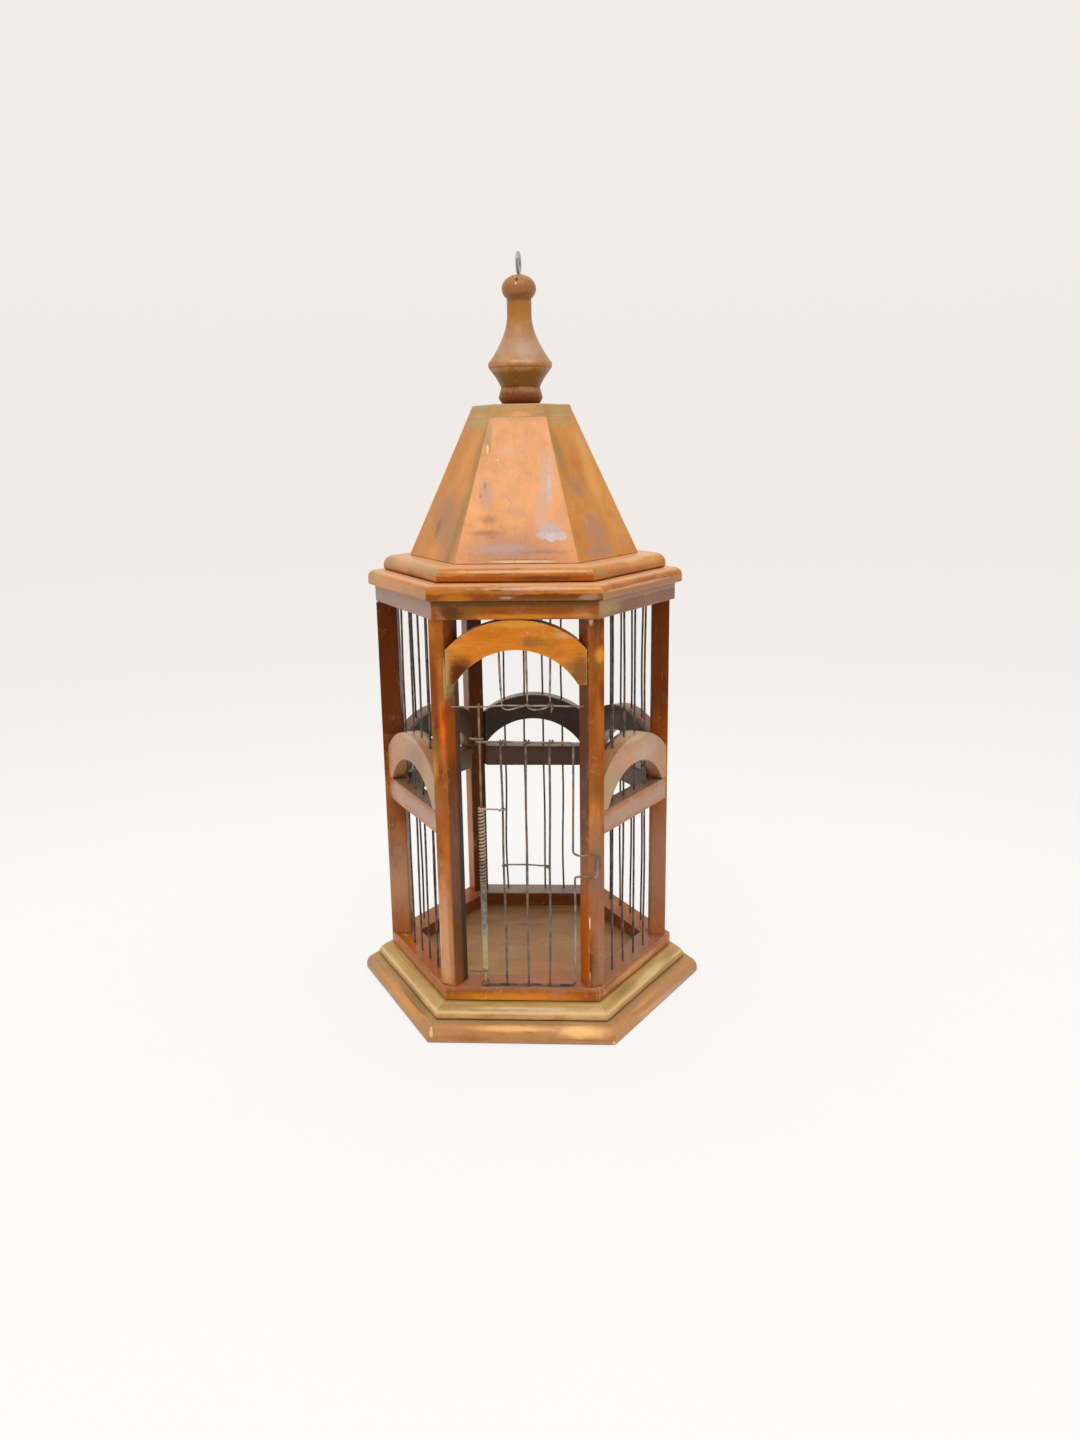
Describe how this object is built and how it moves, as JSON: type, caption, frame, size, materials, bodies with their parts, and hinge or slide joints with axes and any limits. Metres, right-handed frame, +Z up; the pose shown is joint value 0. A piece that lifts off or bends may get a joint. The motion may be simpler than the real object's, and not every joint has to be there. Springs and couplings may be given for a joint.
{
  "type": "wooden birdcage",
  "caption": "Hexagonal wooden birdcage with arched side boards, upright wire bars, a pitched roof with a turned finial and hanging eye, and a sprung wire door.",
  "frame": {"origin": "centre of the underside of the base slab", "axes": "+Z up along the cage's axis, -Y out through the door side, +X to the right of someone facing the door, through a corner of the hexagon"},
  "size_m": [0.28, 0.2424, 0.5676],
  "materials": {
    "stained_wood": "orange-brown stain under worn gloss varnish, greyed in patches",
    "worn_stained_wood": "lighter orange-brown stain under worn gloss varnish",
    "tan_wood": "olive-tan stain, satin",
    "grey_wire": "dull grey with brown tarnish",
    "rusty_wire": "grey-brown with light rust",
    "spring_wire": "tarnished yellowish steel",
    "plated_eye": "dulled bright plating"
  },
  "bodies": {
    "cage": {"base_slab": "worn_stained_wood", "base_moulding": "tan_wood", "sill_frame": "stained_wood", "frieze_frame": "stained_wood", "post_front_right": "stained_wood", "post_right": "stained_wood", "post_back_right": "stained_wood", "post_back_left": "stained_wood", "post_left": "stained_wood", "post_front_left": "stained_wood", "arch_front": "stained_wood", "arch_front_right": "stained_wood", "arch_back_right": "stained_wood", "arch_back": "stained_wood", "arch_back_left": "stained_wood", "arch_front_left": "stained_wood", "rail_front_right": "stained_wood", "rail_back_right": "stained_wood", "rail_back": "stained_wood", "rail_back_left": "stained_wood", "rail_front_left": "stained_wood", "bar_front_right_1": "grey_wire", "bar_front_right_2": "grey_wire", "bar_front_right_3": "grey_wire", "bar_front_right_4": "grey_wire", "bar_back_right_1": "grey_wire", "bar_back_right_2": "grey_wire", "bar_back_right_3": "grey_wire", "bar_back_right_4": "grey_wire", "bar_back_1": "grey_wire", "bar_back_2": "grey_wire", "bar_back_3": "grey_wire", "bar_back_4": "grey_wire", "bar_back_left_1": "grey_wire", "bar_back_left_2": "grey_wire", "bar_back_left_3": "grey_wire", "bar_back_left_4": "grey_wire", "bar_front_left_1": "grey_wire", "bar_front_left_2": "grey_wire", "bar_front_left_3": "grey_wire", "bar_front_left_4": "grey_wire", "cornice_lower": "stained_wood", "cornice_upper": "stained_wood", "roof_panel_front": "worn_stained_wood", "roof_panel_front_right": "worn_stained_wood", "roof_panel_back_right": "worn_stained_wood", "roof_panel_back": "worn_stained_wood", "roof_panel_back_left": "worn_stained_wood", "roof_panel_front_left": "worn_stained_wood", "roof_cap": "tan_wood", "finial": "stained_wood", "screw_eye": "plated_eye", "header_wire": "rusty_wire", "hinge_rod": "rusty_wire", "door_spring": "spring_wire"},
    "door": {"door_frame": "rusty_wire", "door_bar_1": "grey_wire", "door_bar_2": "grey_wire", "door_bar_3": "grey_wire", "door_cross_tie": "grey_wire"}
  },
  "joints": [
    {"name": "door_hinge", "type": "hinge", "parent": "cage", "child": "door", "pos_m": [-0.0275, -0.09646, 0.1305], "axis": [0, 0, -1], "range_deg": [0, 105], "stiffness_Nm_per_rad": 0.006, "springref_deg": -85.94, "deforming": ["door_spring"]}
  ]
}
